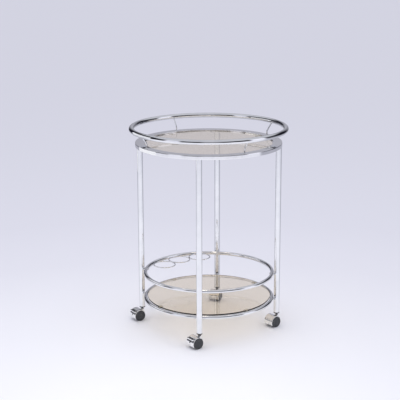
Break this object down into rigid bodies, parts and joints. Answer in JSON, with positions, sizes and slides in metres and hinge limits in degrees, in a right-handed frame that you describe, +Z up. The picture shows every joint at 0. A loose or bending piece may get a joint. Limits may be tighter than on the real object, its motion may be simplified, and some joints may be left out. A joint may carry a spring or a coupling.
{
  "type": "bar cart",
  "caption": "Round two-tier chrome bar cart with tinted glass shelves, a raised gallery rail, a guard ring with wire bottle loops and twin-wheel swivel casters.",
  "frame": {"origin": "on the floor, under the common axis of the rings and shelves", "axes": "+Z up; the legs stand on the X and Y axes, the front leg on -Y and the right leg on +X"},
  "size_m": [0.6124, 0.6107, 0.781],
  "materials": {
    "chromed_tube": "bright chrome plated steel tube",
    "chromed_wire": "bright chrome plated steel rod and wire",
    "chromed_casting": "bright chrome plated casting",
    "bronze_glass": "bronze tinted tempered glass, softened edges",
    "clear_bumper": "clear soft bumper",
    "zinc_steel": "zinc plated steel",
    "chromed_screw": "chromed screw",
    "black_socket": "black moulded plastic",
    "black_wheel": "black moulded nylon",
    "black_pedal": "black moulded nylon"
  },
  "bodies": {
    "cart": {"top_rail": "chromed_tube", "tray_ring": "chromed_tube", "leg_plugs": "zinc_steel", "leg_studs": "zinc_steel", "guard_ring": "chromed_tube", "shelf_ring": "chromed_tube", "ring_spacers": "chromed_screw", "rivet_nuts": "zinc_steel", "ring_screws": "chromed_screw", "top_glass": "bronze_glass", "top_glass_tabs": "chromed_wire", "top_glass_bumpers": "clear_bumper", "lower_glass": "bronze_glass", "lower_glass_tabs": "chromed_wire", "lower_glass_bumpers": "clear_bumper", "grip_rings": "zinc_steel", "swivel_washers": "zinc_steel", "stem_clips": "zinc_steel", "bottle_ring_left": "chromed_wire", "bottle_ring_middle": "chromed_wire", "bottle_ring_right": "chromed_wire", "rail_post_front": "chromed_wire", "leg_front": "chromed_tube", "stem_socket_front": "black_socket", "caster_stem_front": "zinc_steel", "rail_post_right": "chromed_wire", "leg_right": "chromed_tube", "stem_socket_right": "black_socket", "caster_stem_right": "zinc_steel", "rail_post_back": "chromed_wire", "leg_back": "chromed_tube", "stem_socket_back": "black_socket", "caster_stem_back": "zinc_steel", "rail_post_left": "chromed_wire", "leg_left": "chromed_tube", "stem_socket_left": "black_socket", "caster_stem_left": "zinc_steel"},
    "caster_front": {"caster_housing_front": "chromed_casting", "caster_axle_front": "zinc_steel", "brake_pin_front": "zinc_steel"},
    "wheel_front_left": {"caster_wheel_front_left": "black_wheel"},
    "wheel_front_right": {"caster_wheel_front_right": "black_wheel"},
    "brake_front": {"brake_pedal_front": "black_pedal"},
    "caster_right": {"caster_housing_right": "chromed_casting", "caster_axle_right": "zinc_steel"},
    "wheel_right_left": {"caster_wheel_right_left": "black_wheel"},
    "wheel_right_right": {"caster_wheel_right_right": "black_wheel"},
    "caster_back": {"caster_housing_back": "chromed_casting", "caster_axle_back": "zinc_steel"},
    "wheel_back_left": {"caster_wheel_back_left": "black_wheel"},
    "wheel_back_right": {"caster_wheel_back_right": "black_wheel"},
    "caster_left": {"caster_housing_left": "chromed_casting", "caster_axle_left": "zinc_steel", "brake_pin_left": "zinc_steel"},
    "wheel_left_left": {"caster_wheel_left_left": "black_wheel"},
    "wheel_left_right": {"caster_wheel_left_right": "black_wheel"},
    "brake_left": {"brake_pedal_left": "black_pedal"}
  },
  "joints": [
    {"name": "caster_front_swivel", "type": "hinge", "parent": "cart", "child": "caster_front", "pos_m": [0, -0.265, 0.042], "axis": [0, 0, 1], "continuous": true},
    {"name": "wheel_front_left_spin", "type": "hinge", "parent": "caster_front", "child": "wheel_front_left", "pos_m": [-0.01439, -0.27889, 0.021], "axis": [0.6947, -0.7193, 0], "continuous": true},
    {"name": "wheel_front_right_spin", "type": "hinge", "parent": "caster_front", "child": "wheel_front_right", "pos_m": [-0.01439, -0.27889, 0.021], "axis": [0.6947, -0.7193, 0], "continuous": true},
    {"name": "brake_front_press", "type": "hinge", "parent": "caster_front", "child": "brake_front", "pos_m": [-0.02013, -0.28444, 0.03601], "axis": [0.6947, -0.7193, 0], "range_deg": [0, 8]},
    {"name": "caster_right_swivel", "type": "hinge", "parent": "cart", "child": "caster_right", "pos_m": [0.265, 0, 0.042], "axis": [0, 0, 1], "continuous": true},
    {"name": "wheel_right_left_spin", "type": "hinge", "parent": "caster_right", "child": "wheel_right_left", "pos_m": [0.25136, -0.01463, 0.021], "axis": [0.7314, -0.682, 0], "continuous": true},
    {"name": "wheel_right_right_spin", "type": "hinge", "parent": "caster_right", "child": "wheel_right_right", "pos_m": [0.25136, -0.01463, 0.021], "axis": [0.7314, -0.682, 0], "continuous": true},
    {"name": "caster_back_swivel", "type": "hinge", "parent": "cart", "child": "caster_back", "pos_m": [0, 0.265, 0.042], "axis": [0, 0, 1], "continuous": true},
    {"name": "wheel_back_left_spin", "type": "hinge", "parent": "caster_back", "child": "wheel_back_left", "pos_m": [-0.00416, 0.24544, 0.021], "axis": [0.9781, -0.2079, 0], "continuous": true},
    {"name": "wheel_back_right_spin", "type": "hinge", "parent": "caster_back", "child": "wheel_back_right", "pos_m": [-0.00416, 0.24544, 0.021], "axis": [0.9781, -0.2079, 0], "continuous": true},
    {"name": "caster_left_swivel", "type": "hinge", "parent": "cart", "child": "caster_left", "pos_m": [-0.265, 0, 0.042], "axis": [0, 0, 1], "continuous": true},
    {"name": "wheel_left_left_spin", "type": "hinge", "parent": "caster_left", "child": "wheel_left_left", "pos_m": [-0.28054, -0.01259, 0.021], "axis": [0.6293, -0.7771, 0], "continuous": true},
    {"name": "wheel_left_right_spin", "type": "hinge", "parent": "caster_left", "child": "wheel_left_right", "pos_m": [-0.28054, -0.01259, 0.021], "axis": [0.6293, -0.7771, 0], "continuous": true},
    {"name": "brake_left_press", "type": "hinge", "parent": "caster_left", "child": "brake_left", "pos_m": [-0.28675, -0.01761, 0.03601], "axis": [0.6293, -0.7771, 0], "range_deg": [0, 8]}
  ]
}
